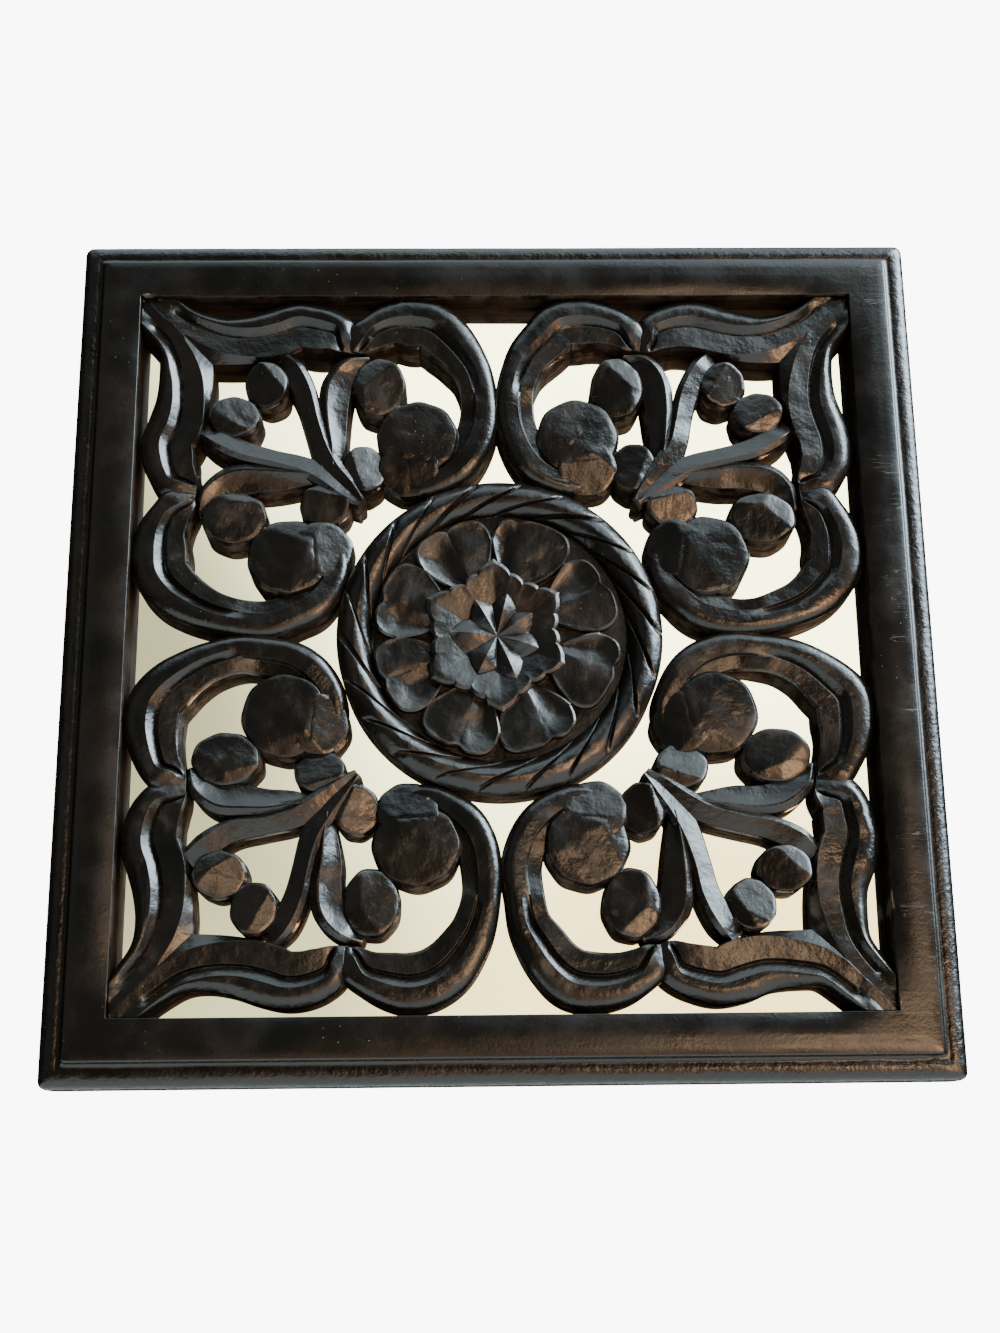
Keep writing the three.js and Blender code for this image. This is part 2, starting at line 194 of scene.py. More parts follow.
def scroll_profile(along):
    """A rounded outer edge, a nearly flat band, a steep facet into the groove, and a flat inner band."""
    groove = lerp(0.96, 0.6, ease((along - 0.09) / 0.11))
    deep = 0.23 * ease((along - 0.09) / 0.04) * (1 - ease((along - 0.56) / 0.1))
    inner = 1 - groove
    fall = 0.16 * ease((along - 0.6) / 0.08)
    return [(0, RIM, 0), (0.035, 0.77, 0.01), (0.13, 0.9, 0.012), (0.27, 0.965, 0), (groove - 0.18, 0.955, 0),
            (groove - 0.02, 0.94 - 0.95 * deep, 0), (groove, 0.94 - deep, 0),
            (groove + 0.1 * inner, 0.9 - 0.06 * deep - fall, 0), (1 - 0.1 * inner, 0.84 - fall, 0),
            (1, RIM - fall, 0)]


def ogee_profile(along):
    """Like the scroll, but with a chamfer inside that widens towards the corner."""
    groove = lerp(lerp(0.96, 0.54, ease((along - 0.12) / 0.13)), 0.21, ease((along - 0.5) / 0.4))
    deep = 0.23 * ease((along - 0.13) / 0.04) * (1 - ease((along - 0.84) / 0.08))
    inner = 1 - groove
    brink = groove - min(0.17, 0.45 * groove)
    chamfer = 0.97 - 0.41 * clamp((along - 0.52) / 0.26, 0.0, 1.0) ** 1.6
    return [(0, RIM, 0), (0.05 * groove, 0.76, 0.006), (0.26 * groove, 0.9, 0.012), (0.45 * groove, 0.965, 0),
            (brink, 0.955, 0), (groove, 0.94 - deep, 0), (groove + 0.08 * inner, 0.88 - 0.06 * deep, 0),
            (chamfer, 0.93, 0), (1, RIM + 0.04, 0)]


def tendril_profile(along):
    return [(0, RIM - 0.06, 0.0), (0.06, 0.73, 0), (0.74, 0.965, 0), (0.93, 0.85, 0), (1, RIM, 0)]


def leaf_profile(along):
    return [(0, 0.6, 0), (0.06, 0.7, -0.035), (0.7, 0.95, 0), (0.76, 0.955, 0), (0.95, 0.82, 0), (1, RIM, 0)]


# The drawing of half a heart, above the diagonal from the plaque's middle to its corner
SCROLL = [(60, 107.5, 3), (55, 109.4, 7.5), (50, 111.8, 12.6), (44.5, 114.6, 15), (38, 117.2, 17.6),
          (31, 118.2, 19.8), (23.5, 117, 19.6), (17.4, 112, 18.4), (12.4, 105.5, 16.4), (8.6, 98.5, 14.4),
          (6.8, 90, 13.4), (6.5, 80, 14), (9, 71, 14), (13.6, 64.4, 14), (20.5, 59.2, 12.8),
          (27.5, 57.2, 10.8), (34.5, 58.5, 7)]
OGEE = [(133, 131, 24), (124, 121.5, 23), (115.5, 115.3, 21.5), (106.5, 111.9, 19.4), (97, 111.2, 18.8),
        (87, 112.3, 19.2), (78, 114.8, 20.2), (71, 116.6, 19.6), (64.5, 116.2, 18.6), (59, 114.2, 17),
        (54.5, 111.6, 13.6), (50, 109.6, 8.6), (45, 107.6, 3)]
TENDRIL = [(48.5, 48.5, 4), (52.8, 53.8, 8), (58.5, 61.3, 9.4), (63, 70, 8.4), (65.7, 80, 7.8),
           (68.2, 90, 8.6), (72.3, 98.3, 9), (77, 104.6, 7)]
LEAF = [(45.5, 103.5, 5), (52.5, 100.6, 9), (57, 94, 11.4), (58, 86, 11), (57.7, 78, 9.4), (57.6, 70, 6.6),
        (57.4, 62, 2.6)]
# Rounds: middle, half sizes, top, and the cuts at their sides
BALL = ((28.5, 72.8), 14.7, 14.7, 0.985,
        [(-125, -0.15, 0.1), (-82, 0.46, 0.32), (-8, 0.3, 0.22), (60, -0.6, 0.13)])
TERMINAL = ((31.4, 61.6), 11.0, 10.6, 0.9, [(-80, -0.15, 0.31), (-10, 0.4, 0.12)])
BUDS = [((42.8, 92.2), 9.6, 11.8, 0.96, [(-135, -0.35, 0.2), (55, 0.3, 0.16), (-10, 0.5, 0.14)]),
        ((81.6, 93.4), 8.2, 9.0, 0.96, [(-45, -0.4, 0.26), (155, 0.35, 0.18)]),
        ((47.6, 61), 7.9, 9.2, 0.96, [(155, -0.45, 0.34), (-20, 0.45, 0.16)])]


# How far the drawing wanders from heart to heart, and the height of the tool marks
WANDER = 0.25
OGEE_WANDER = 0.2
TOOL_MARKS = 0.2


def uneven(stops, rng, by):
    return [(x + rng.gauss(0, by), y + rng.gauss(0, by), w * rng.gauss(1, 0.015)) for x, y, w in stops]


def half_heart(seed):
    """The reliefs that make up half a heart, no two hearts cut quite alike."""
    rng = random.Random(seed)
    ogee = ribbon(uneven(OGEE, rng, OGEE_WANDER), lambda along: ogee_profile(1 - along), 80, grain=TOOL_MARKS,
                  seed=seed, sinks=((1, 0), (0.19, 0.3)))
    bmesh.ops.bisect_plane(ogee, geom=ogee.verts[:] + ogee.edges[:] + ogee.faces[:], dist=1e-5,
                           plane_co=(0.02, 0, 0), plane_no=(1, -1, 0), clear_outer=True)
    bmesh.ops.holes_fill(ogee, edges=[e for e in ogee.edges if e.is_boundary])
    reliefs = [
        ogee,
        ribbon(uneven(SCROLL, rng, WANDER), scroll_profile, 96, grain=TOOL_MARKS, seed=seed + 3,
               sinks=((0.14, 0.35), (0.2, 0.34))),
        ribbon(uneven(TENDRIL, rng, WANDER), tendril_profile, 34, fine=12, grain=TOOL_MARKS, seed=seed + 5,
               sinks=((1, 0), (0.12, 0.2))),
        ribbon(uneven(LEAF, rng, WANDER), leaf_profile, 34, fine=12, grain=TOOL_MARKS, seed=seed + 7,
               sinks=((0.15, 0.2), (1, 0))),
    ]
    for k, ((x, y), wide, high, top, cuts) in enumerate([BALL, TERMINAL] + BUDS):
        x, y = (x, y) if k < 2 else (x + rng.gauss(0, 0.4), y + rng.gauss(0, 0.4))
        wide, high = wide * rng.gauss(1, 0.02), high * rng.gauss(1, 0.02)
        reliefs.append(bud(x, y, wide, high, top, cuts, seed + 11 + k,
                           segments=64 if k < 2 else 48, loose=0.25 if k < 2 else 1.0))
    return reliefs


STRANDS = 22
ROPE_OUTER = 56.2
ROPE_INNER = 43.8
ROPE_SWEEP = math.radians(28)
ROPE_CUTS = (0.0, 0.03, 0.065, 0.11, 0.18, 0.28, 0.4, 0.53, 0.66, 0.78, 0.87, 0.93, 0.97)
ROPE_BAND = [(0, 0.46, 0), (0.07, 0.6, 0), (0.3, 0.86, 0.01), (0.52, 0.985, 0), (0.72, 0.96, 0.01),
             (0.95, 0.78, 0), (1, 0.7, 0)]
# The ground inside the ring: its height as a share of the carving, and its radius, which ends under the rope
FLOOR = 0.46
FLOOR_RADIUS = 50


def rope_ring():
    """The ring round the rosette: a rounded band with thin slanting cuts, and the floor inside it."""
    bm = bmesh.new()
    rows = 16
    steps = len(ROPE_CUTS)
    line = [bm.verts.new((k, 0, 0)) for k in range(rows + 1)]
    edges = [bm.edges.new(pair) for pair in zip(line, line[1:])]
    bmesh.ops.spin(bm, geom=line + edges, axis=(0, 0, 1), cent=(-20, 0, 0), angle=2 * math.pi,
                   steps=STRANDS * steps, use_merge=True, use_duplicate=False)
    for v in bm.verts:
        radius = (v.co - Vector((-20, 0, 0))).xy
        share = (radius.length - 20) / rows
        count = round(math.atan2(radius.y, radius.x) * STRANDS * steps / (2 * math.pi)) % (STRANDS * steps)
        strand, phase = count // steps, ROPE_CUTS[count % steps]
        waver = 0.10 * math.sin(strand * 2.4) + 0.06 * math.cos(strand * 4.1)
        near = min(phase, 1 - phase)
        cut = math.exp(-(near / 0.055) ** 2) * (1 + waver)
        # Each strand swells a little and lies over the next one
        swell = 0.04 * math.sin(math.pi * phase) ** 0.7 + 0.075 * (0.5 - phase)
        middle = math.sin(math.pi * clamp(share * 1.05, 0, 1))
        height = facets(ROPE_BAND, share) + (swell - 0.2 * cut) * middle - 0.03
        slant = ROPE_SWEEP * (1 - share) ** 1.7
        out = lerp(ROPE_INNER, ROPE_OUTER, share) - (0.7 * cut if share == 1 else 0)
        turn = (strand + phase + 0.25 * waver) * 2 * math.pi / STRANDS + slant
        v.co = (out * math.cos(turn), out * math.sin(turn), height * CARVING)
    skirt(bm)

    def level(share, angle):
        out = share * FLOOR_RADIUS
        return (out * math.cos(angle), out * math.sin(angle), FLOOR * CARVING)

    return [bm, disc(level, 4, 72)]


PETALS = 8
PETAL_ROOT = 17.0
PETAL_MIDDLE = (-0.8, 0)
# Each petal: direction in degrees, reach of its left and its right lobe, place of the crease between them
PETAL_TABLE = [(24.5, 42.0, 43.0, 0.1), (70, 43.0, 43.6, 0.4), (115, 43.2, 43.0, 0.0),
               (159, 43.0, 43.4, 0.15), (203.5, 43.0, 43.4, -0.05), (248, 43.2, 42.6, 0.1),
               (292, 42.6, 42.4, 0.2), (338, 43.2, 42.4, 0.25)]


def petal(index):
    """A petal of two broad lobes: the left one hollowed like a gouge cut, the right one left full."""
    degrees, left, right, crease_at = PETAL_TABLE[index]
    half = math.pi / PETALS * 1.02
    middle = math.radians(degrees)
    shoulder = 35.0
    hub = Vector((31 * math.cos(middle), 31 * math.sin(middle)))

    def reach(share):
        far = lerp(right, left, ease((share + 0.4) / 0.8))
        return far - (far - shoulder) * abs(share) ** 6 - 1.3 * math.exp(-((share - crease_at) / 0.14) ** 2)

    def edge(angle):
        out, share = math.cos(angle), math.sin(angle)
        r = lerp(shoulder, PETAL_ROOT, -out) if out < 0 else lerp(shoulder, reach(share), min(1, out * 3))
        way = middle + share * half
        return Vector((r * math.cos(way), r * math.sin(way)))

    def place(share, angle):
        spot = hub.lerp(edge(angle), share)
        across = ((math.atan2(spot.y, spot.x) - middle + math.pi) % (2 * math.pi) - math.pi) / half
        outward = clamp((spot.length - PETAL_ROOT) / (43 - PETAL_ROOT), 0, 1)
        crease = 0.05 * math.exp(-abs(across - crease_at) / 0.07) * ease((outward - 0.2) * 2)
        lobe = lerp(crease_at, 1, 0.5)
        gouge = 1 - ((across - lobe) / (0.5 - 0.5 * crease_at)) ** 2
        hollow = 0.15 * max(0.0, gouge) * ease((0.97 - outward) / 0.3)
        full = 0.03 * math.exp(-((across + 0.45) / 0.5) ** 2) * outward
        edge_lip = 0.02 * ease((share - 0.86) / 0.08) - 0.07 * ease((share - 0.95) / 0.05)
        height = 0.8 - 0.1 * (1 - outward) - crease - hollow + full + edge_lip + 0.04 * across
        tool = 0.22 * noise.noise(Vector((spot.x * 0.2, spot.y * 0.2, index)))
        return (spot.x + PETAL_MIDDLE[0], spot.y + PETAL_MIDDLE[1], height * CARVING + tool)

    return disc(place, 18, 96)


# Direction and reach of each tip
STAR_TIPS = [(35, 26.4), (92, 27.6), (151, 27.6), (214, 27.4), (274, 27.4), (336, 25.4)]
STAR_WAIST = 0.79
STAR_MIDDLE = (-1.0, -0.6)
STAR_RIM = 0.985
SCALLOPS = 4


def star():
    """The six-pointed leaf star: a hollow of flat facets, creased from each point and scalloped outside."""
    tips = len(STAR_TIPS)

    def place(share, angle):
        at = (angle / (2 * math.pi) * tips) % tips
        k = int(at) % tips
        into = at - int(at)
        (a, r), (b, q) = STAR_TIPS[k], STAR_TIPS[(k + 1) % tips]
        a, b = math.radians(a), math.radians(b)
        way = a + into * ((b - a) % (2 * math.pi))
        bow = 1 - abs(2 * into - 1)
        # Straight from the tip to the waist
        tip, waist, sector = (r if into < 0.5 else q), STAR_WAIST * (r + q) / 2, math.pi / tips
        span = tip * math.sin(bow * sector) + waist * math.sin((1 - bow) * sector)
        straight = tip * waist * math.sin(sector) / span
        scallop = (abs(math.sin(math.pi * SCALLOPS * into)) ** 0.6 - 0.45) * ease(5 * bow)
        radius = straight + scallop * ease((share - 0.7) / 0.25)
        # Within each sixth the height is that of one flat facet, highest along the star's side
        aside = math.cos((into - 0.5) * math.pi / 3)
        facet = share * straight / lerp(r, q, into) * aside / math.cos(math.pi / 6)
        height = min(0.37 + 0.7 * facet, STAR_RIM)
        lip = -0.07 * ease((share - 0.95) / 0.05)
        tool = 0.12 * noise.noise(Vector((share * 4, way * 2, 9)))
        out = radius * share
        return (STAR_MIDDLE[0] + out * math.cos(way), STAR_MIDDLE[1] + out * math.sin(way),
                (height + lip) * CARVING + tool)

    return disc(place, 18, 6 * 32)


# Direction and reach of each petal of the flower in the middle
FLOWER_PETALS = [(33, 14.6), (76, 15.4), (120, 14.8), (176, 16.4), (244, 15.0), (293, 16.6), (342, 15.0)]
FLOWER_STEPS = 16


def flower():
    """The flower in the middle: each petal two flat facets that meet in a ridge, falling to the centre."""
    count = len(FLOWER_PETALS)

    def place(share, angle):
        at = (angle / (2 * math.pi) * count) % count
        k = int(at) % count
        into = at - int(at)
        (a, r), (b, q) = FLOWER_PETALS[k], FLOWER_PETALS[(k + 1) % count]
        a, b = math.radians(a), math.radians(b)
        way = a + into * ((b - a) % (2 * math.pi))
        ridge = abs(2 * into - 1)
        reach = (r if into < 0.5 else q) * lerp(0.76, 1, ridge ** 1.15)
        top = lerp(0.76, 1.0, ridge)
        height = lerp(0.8, top, min(1, share * 1.7))
        height -= 0.2 * ridge * max(0.0, share - 0.6)
        height -= 0.05 * ease((share - 0.9) / 0.1)
        out = reach * share
        return (STAR_MIDDLE[0] + out * math.cos(way), STAR_MIDDLE[1] + out * math.sin(way), height * CARVING)

    return disc(place, 10, count * FLOWER_STEPS)


def united(name, reliefs):
    """One object out of many overlapping closed reliefs."""
    group = bpy.data.collections.new(name + "_reliefs")
    bpy.context.scene.collection.children.link(group)
    objects = []
    for k, bm in enumerate(reliefs):
        bmesh.ops.recalc_face_normals(bm, faces=bm.faces[:])
        mesh = bpy.data.meshes.new(f"{name}_{k}")
        bm.to_mesh(mesh)
        bm.free()
        obj = bpy.data.objects.new(f"{name}_{k}", mesh)
        (bpy.context.scene.collection if k == 0 else group).objects.link(obj)
        objects.append(obj)
    join = objects[0].modifiers.new("join", "BOOLEAN")
    join.operation = "UNION"
    join.operand_type = "COLLECTION"
    join.collection = group
    join.solver = "MANIFOLD"
    seen = objects[0].evaluated_get(bpy.context.evaluated_depsgraph_get())
    mesh = bpy.data.meshes.new_from_object(seen)
    for obj in objects:
        bpy.data.objects.remove(obj)
    bpy.data.collections.remove(group)
    mesh.name = name
    whole = bpy.data.objects.new(name, mesh)
    bpy.context.scene.collection.objects.link(whole)
    return whole


def carved_panel():
    reliefs = []
    for k, (flip_x, flip_y) in enumerate(((1, 1), (-1, 1), (-1, -1), (1, -1))):
        for twin in (0, 1):
            for bm in half_heart(100 + 10 * k + 4 * twin):
                for v in bm.verts:
                    x, y = (v.co.y, v.co.x) if twin else (v.co.x, v.co.y)
                    v.co.x, v.co.y = x * flip_x, y * flip_y
                reliefs.append(bm)
    reliefs += rope_ring()
    reliefs += [petal(k) for k in range(PETALS)]
    reliefs += [star(), flower()]
    for bm in reliefs:
        for v in bm.verts:
            v.co.x = clamp(v.co.x, -PANEL_HALF, PANEL_HALF)
            v.co.y = clamp(v.co.y + LIFT, -PANEL_HALF, PANEL_HALF)
            v.co.z = min(v.co.z, CARVING) + PANEL_BACK
    panel = united("panel", reliefs)
    return stood(panel, 21)


def stood(obj, angle=35):
    obj.data.transform(STAND)
    obj.data.shade_smooth()
    obj.data.set_sharp_from_angle(angle=math.radians(angle))
    return obj


# The rail's section from the opening outwards: [distance from the plaque's middle, height]
FIELD_EDGE = PLAQUE_HALF - MOULDING
EASING = 8.0
EASING_DROP = 1.3


def rail_section():
    inner = [(OPENING_HALF, REBATE_DEPTH), (OPENING_HALF, 12.0), (OPENING_HALF, FRAME_DEPTH - EASING_DROP)]
    eased = [(OPENING_HALF + EASING * t, FRAME_DEPTH - EASING_DROP * (1 - t) ** 2)
             for t in (0.02, 0.07, 0.14, 0.24, 0.36, 0.5, 0.68, 0.86, 1.0)]
    field = [(lerp(OPENING_HALF + EASING, FIELD_EDGE, t), FRAME_DEPTH) for t in (0.4, 0.94)]
    moulding = [(0, -0.015), (0.03, -0.05), (0.045, -0.15), (0.09, -0.25), (0.16, -0.31), (0.24, -0.335),
                (0.3, -0.35), (0.36, -0.335), (0.46, -0.33), (0.58, -0.345), (0.7, -0.385), (0.8, -0.44),
                (0.88, -0.52), (0.95, -0.62), (0.99, -0.74), (1, -0.9)]
    outside = [(PLAQUE_HALF, 6.0), (PLAQUE_HALF, 0.6), (PLAQUE_HALF - 0.6, 0)]
    back = [(REBATE_HALF + 0.4, 0), (REBATE_HALF, 0.4), (REBATE_HALF, REBATE_DEPTH)]
    lip = [(FIELD_EDGE + o * MOULDING, FRAME_DEPTH + d * MOULDING) for o, d in moulding]
    return inner + eased + field + lip + outside + back


RAIL_CUTS = 72
# The keyhole in the back of the top rail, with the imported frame's sizes
KEYHOLE_HEAD = 9.0
KEYHOLE_NECK = 4.6
KEYHOLE_RISE = 5.0
KEYHOLE_DEPTH = 8.0
KEYHOLE_SKIN = 2.6
KEYHOLE_LEAN = 1.2
KEYHOLE_LOW = (REBATE_HALF + PLAQUE_HALF - KEYHOLE_RISE - KEYHOLE_LEAN) / 2
# The cutter starts this far behind the frame's back, so that it cuts right through it
CUT_PAST = 1


def keyhole():
    """The cutter: a head that a screw goes in by, and a slot with a wider runway behind it."""
    high = KEYHOLE_LOW + KEYHOLE_RISE
    head = (-CUT_PAST, KEYHOLE_DEPTH)
    neck = (-CUT_PAST, KEYHOLE_DEPTH - 1)
    runway = (KEYHOLE_SKIN, KEYHOLE_DEPTH)
    rounds = [(KEYHOLE_LOW, KEYHOLE_HEAD, head), (high, KEYHOLE_NECK, neck), (high, KEYHOLE_HEAD, runway)]
    reliefs = []
    for y, wide, (back, front) in rounds:
        bm = bmesh.new()
        bmesh.ops.create_cone(bm, cap_ends=True, segments=48, radius1=wide / 2, radius2=wide / 2,
                              depth=front - back, matrix=Matrix.Translation((0, y, (back + front) / 2)))
        reliefs.append(bm)
    for wide, (back, front) in ((KEYHOLE_NECK, neck), (KEYHOLE_HEAD, runway)):
        bm = bmesh.new()
        middle = Matrix.Translation((0, KEYHOLE_LOW + KEYHOLE_RISE / 2, (back + front) / 2))
        size = Matrix.Diagonal((wide, KEYHOLE_RISE, front - back, 1))
        bmesh.ops.create_cube(bm, size=1, matrix=middle @ size)
        reliefs.append(bm)
    return united("keyhole", reliefs)


def frame_rails():
    """The section turned round the square, with the hand-eased edge of the opening and a rough lip."""
    bm = bmesh.new()
    loop = [bm.verts.new((math.sqrt(2) * out, 0, z)) for out, z in rail_section()]
    edges = [bm.edges.new((loop[i], loop[(i + 1) % len(loop)])) for i in range(len(loop))]
    bmesh.ops.spin(bm, geom=loop + edges, axis=(0, 0, 1), cent=(0, 0, 0), angle=2 * math.pi,
                   steps=4, use_merge=True, use_duplicate=False)
    bmesh.ops.rotate(bm, verts=bm.verts, cent=(0, 0, 0), matrix=Matrix.Rotation(math.pi / 4, 3, "Z"))
    long = [e for e in bm.edges if e.calc_length() > 100]
    bmesh.ops.subdivide_edges(bm, edges=long, cuts=RAIL_CUTS, use_grid_fill=True)
    for v in bm.verts:
        x, y, z = v.co
        out = max(abs(x), abs(y))
        # The cuts gather towards the corners
        along = 1 - (1 - min(abs(x), abs(y)) / out) ** 1.5
        a = out
        if out < OPENING_HALF + EASING + 0.1 and z > FRAME_DEPTH - EASING_DROP - 0.1:
            waver = 0.85 + 0.35 * noise.noise(Vector((x * 0.03, y * 0.03, 1)))
            fade = max(0.08, ease((OPENING_HALF - along * out) / 24) * waver)
            z = FRAME_DEPTH - (FRAME_DEPTH - z) * fade
        elif out > FIELD_EDGE + 1.5 and z > 3:
            rough = 0.16 * noise.noise(Vector((x * 0.3, y * 0.3, z * 0.3)))
            rough += 0.2 * noise.noise(Vector((x * 0.05, y * 0.05, 4)))
            z += rough
            a -= 0.3 * max(0, rough)
        elif out > OPENING_HALF + EASING and z > 3:
            z = min(FRAME_DEPTH, z - 0.06 + 0.12 * noise.noise(Vector((x * 0.04, y * 0.04, 8))))
        corner = 2.8 if out > FIELD_EDGE + 4 else 1.4 if out > FIELD_EDGE - 1 else 0.2
        b = along * a
        if b > a - corner:
            bow = (b - (a - corner)) / corner * math.pi / 4
            a, b = a - corner + corner * math.cos(bow), a - corner + corner * math.sin(bow)
        across, up = (a, b) if abs(x) > abs(y) else (b, a)
        v.co = (math.copysign(across, x), math.copysign(up, y), z)
    bmesh.ops.recalc_face_normals(bm, faces=bm.faces[:])
    mesh = bpy.data.meshes.new("moulded_frame")
    bm.to_mesh(mesh)
    bm.free()
    obj = bpy.data.objects.new("moulded_frame", mesh)
    bpy.context.scene.collection.objects.link(obj)
    cutter = keyhole()
    cut = obj.modifiers.new("keyhole", "BOOLEAN")
    cut.operation = "DIFFERENCE"
    cut.object = cutter
    cut.solver = "MANIFOLD"
    slotted = bpy.data.meshes.new_from_object(obj.evaluated_get(bpy.context.evaluated_depsgraph_get()))
    obj.modifiers.clear()
    obj.data = slotted
    bpy.data.objects.remove(cutter)
    return stood(obj, 40)


panel = carved_panel()
rails = frame_rails()
for piece in (panel, rails):
    piece.data.calc_loop_triangles()
    print(piece.name, len(piece.data.loop_triangles), "triangles")


class Nodes:
    """A material's node tree, built by short calls."""

    def __init__(self, name):
        self.material = bpy.data.materials.new(name)
        self.material.use_nodes = True
        self.tree = self.material.node_tree
        self.shader = self.tree.nodes["Principled BSDF"]
        self.place = self.add("ShaderNodeTexCoord").outputs["Object"]

    def add(self, kind, inputs=(), **settings):
        node = self.tree.nodes.new(kind)
        for key, value in settings.items():
            setattr(node, key, value)
        for key, value in dict(inputs).items():
            self.wire(value, node.inputs[key])
        return node

    def wire(self, value, socket):
        if isinstance(value, bpy.types.NodeSocket):
            self.tree.links.new(value, socket)
        else:
            socket.default_value = value

    def stretched(self, scale, turn=(0, 0, 0)):
        node = self.add("ShaderNodeMapping", {"Vector": self.place})
        node.inputs["Scale"].default_value = scale
        node.inputs["Rotation"].default_value = turn
        return node.outputs["Vector"]

    def noise(self, scale, detail=4.0, rough=0.55, vector=None, distortion=0.0):
        node = self.add("ShaderNodeTexNoise", {"Vector": vector or self.place, "Scale": scale,
                                               "Detail": detail, "Roughness": rough,
                                               "Distortion": distortion})
        return node.outputs["Fac"]

    def specks(self, scale, size):
        """Small round spots, 1 inside and 0 outside, over about half of the cells."""
        cells = self.add("ShaderNodeTexVoronoi", {"Vector": self.place, "Scale": scale})
        spot = self.ramp(cells.outputs["Distance"], size, size * 0.4)
        parts = self.add("ShaderNodeSeparateColor", {"Color": cells.outputs["Color"]})
        return self.math("MULTIPLY", spot, self.ramp(parts.outputs[0], 0.55, 0.6))

    def math(self, operation, a, b=0.0, clamped=False):
        node = self.add("ShaderNodeMath", operation=operation, use_clamp=clamped)
        self.wire(a, node.inputs[0])
        self.wire(b, node.inputs[1])
        return node.outputs[0]

    def ramp(self, value, low, high, to_low=0.0, to_high=1.0):
        ends = {"Value": value, "From Min": low, "From Max": high, "To Min": to_low, "To Max": to_high}
        return self.add("ShaderNodeMapRange", ends, interpolation_type="SMOOTHSTEP").outputs["Result"]

    def mix(self, share, a, b):
        node = self.add("ShaderNodeMix", data_type="RGBA")
        self.wire(share, node.inputs["Factor"])
        self.wire(a, node.inputs["A"])
        self.wire(b, node.inputs["B"])
        return node.outputs["Result"]

    def bump(self, height, distance, strength=1.0, normal=None):
        node = self.add("ShaderNodeBump", {"Height": height, "Distance": distance, "Strength": strength})
        if normal:
            self.wire(normal, node.inputs["Normal"])
        return node.outputs["Normal"]


def black_lacquer(name, carved):
    """Old black lacquer over wood: satin, a little brown where it is thin, dusty, with worn edges."""
    n = Nodes(name)
    axes = n.add("ShaderNodeSeparateXYZ", {"Vector": n.place})
    cloud = n.noise(38, 3)
    fine = n.noise(900, 3)
    streaks = n.noise(1, 4, vector=n.stretched((30, 60, 420)))
    colour = n.mix(n.ramp(cloud, 0.35, 0.7), (0.0026, 0.0027, 0.0022, 1), (0.0058, 0.0042, 0.003, 1))
    surface = n.add("ShaderNodeNewGeometry")
    outwards = n.add("ShaderNodeSeparateXYZ", {"Vector": surface.outputs["True Normal"]}).outputs["Y"]
    facing = n.math("ABSOLUTE", outwards)
    behind = n.ramp(outwards, 0.6, 0.9)
    layers = n.noise(1, 4, 0.6, vector=n.stretched((45, 520, 45)))
    sawn = n.mix(n.ramp(layers, 0.4, 0.62), (0.0018, 0.0012, 0.0009, 1), (0.014, 0.008, 0.0045, 1))
    bare = n.ramp(facing, 0.3, 0.12)
    if not carved:
        bare = n.math("MULTIPLY", bare, n.ramp(outward(n, axes), 0.1295, 0.1285))
    colour = n.mix(bare, colour, sawn)
    worn = n.math("MULTIPLY", n.ramp(surface.outputs["Pointiness"], 0.53, 0.6),
                  n.ramp(n.noise(160, 4), 0.42, 0.62))
    colour = n.mix(n.math("MULTIPLY", worn, 0.8), colour, (0.12, 0.105, 0.085, 1))
    dust = n.math("MULTIPLY", n.specks(420, 0.11), n.ramp(n.noise(25, 3), 0.52, 0.66))
    colour = n.mix(n.math("MULTIPLY", dust, 0.35), colour, (0.3, 0.29, 0.26, 1))
    # The carving's flat tops are rubbed brown in patches, and the frame is not
    flat_top = n.ramp(facing, 0.9, 0.97, 0.0, 0.45 if carved else 0.0)
    rubbed = n.math("MULTIPLY", n.ramp(n.noise(75, 5, 0.65), 0.56, 0.74), flat_top)
    colour = n.mix(rubbed, colour, (0.026, 0.021, 0.016, 1))
    colour = n.mix(behind, colour, (0.011, 0.0095, 0.008, 1))
    rough = n.ramp(n.noise(70, 5), 0.3, 0.75, 0.2, 0.33)
    rough = n.math("ADD", rough, n.math("MULTIPLY", rubbed, 0.3))
    if carved:
        rosette = n.math("MULTIPLY", n.ramp(outward(n, axes), 0.045, 0.040), 0.05)
        rough = n.math("ADD", rough, rosette)
    rough = n.math("ADD", rough, n.math("MULTIPLY", dust, 0.3))
    rough = n.math("ADD", rough, n.math("MULTIPLY", bare, 0.5))
    n.wire(n.math("MAXIMUM", rough, n.math("MULTIPLY", behind, 0.6)), n.shader.inputs["Roughness"])
    n.wire(n.ramp(bare, 0.0, 1.0, 0.5, 0.06), n.shader.inputs["Specular IOR Level"])
    soft = n.add("ShaderNodeBevel", {"Radius": 0.0003 if carved else 0.0004}, samples=6).outputs["Normal"]
    tooled = n.noise(170 if carved else 60, 3)
    normal = n.bump(tooled, 0.0008 if carved else 0.0003, 0.5, soft)
    normal = n.bump(n.noise(520, 4, 0.65), 0.00012, 0.5, normal) if carved else normal
    normal = n.bump(fine, 0.00008, 0.6, normal)
    normal = n.bump(streaks, 0.0001, 0.35, normal)
    if not carved:
        normal = n.bump(lip_texture(n, axes), 0.0007, 0.5, normal)
        checks = surface_checks(n, axes)
        colour = n.mix(n.math("MULTIPLY", checks, 0.24), colour, (0.3, 0.32, 0.31, 1))
    n.wire(colour, n.shader.inputs["Base Color"])
    n.wire(normal, n.shader.inputs["Normal"])
    return n.material


def outward(n, axes):
    """Distance from the plaque's middle, measured square to its sides."""
    x = n.math("ABSOLUTE", axes.outputs["X"])
    z = n.math("ABSOLUTE", axes.outputs["Z"])
    return n.math("MAXIMUM", x, z)


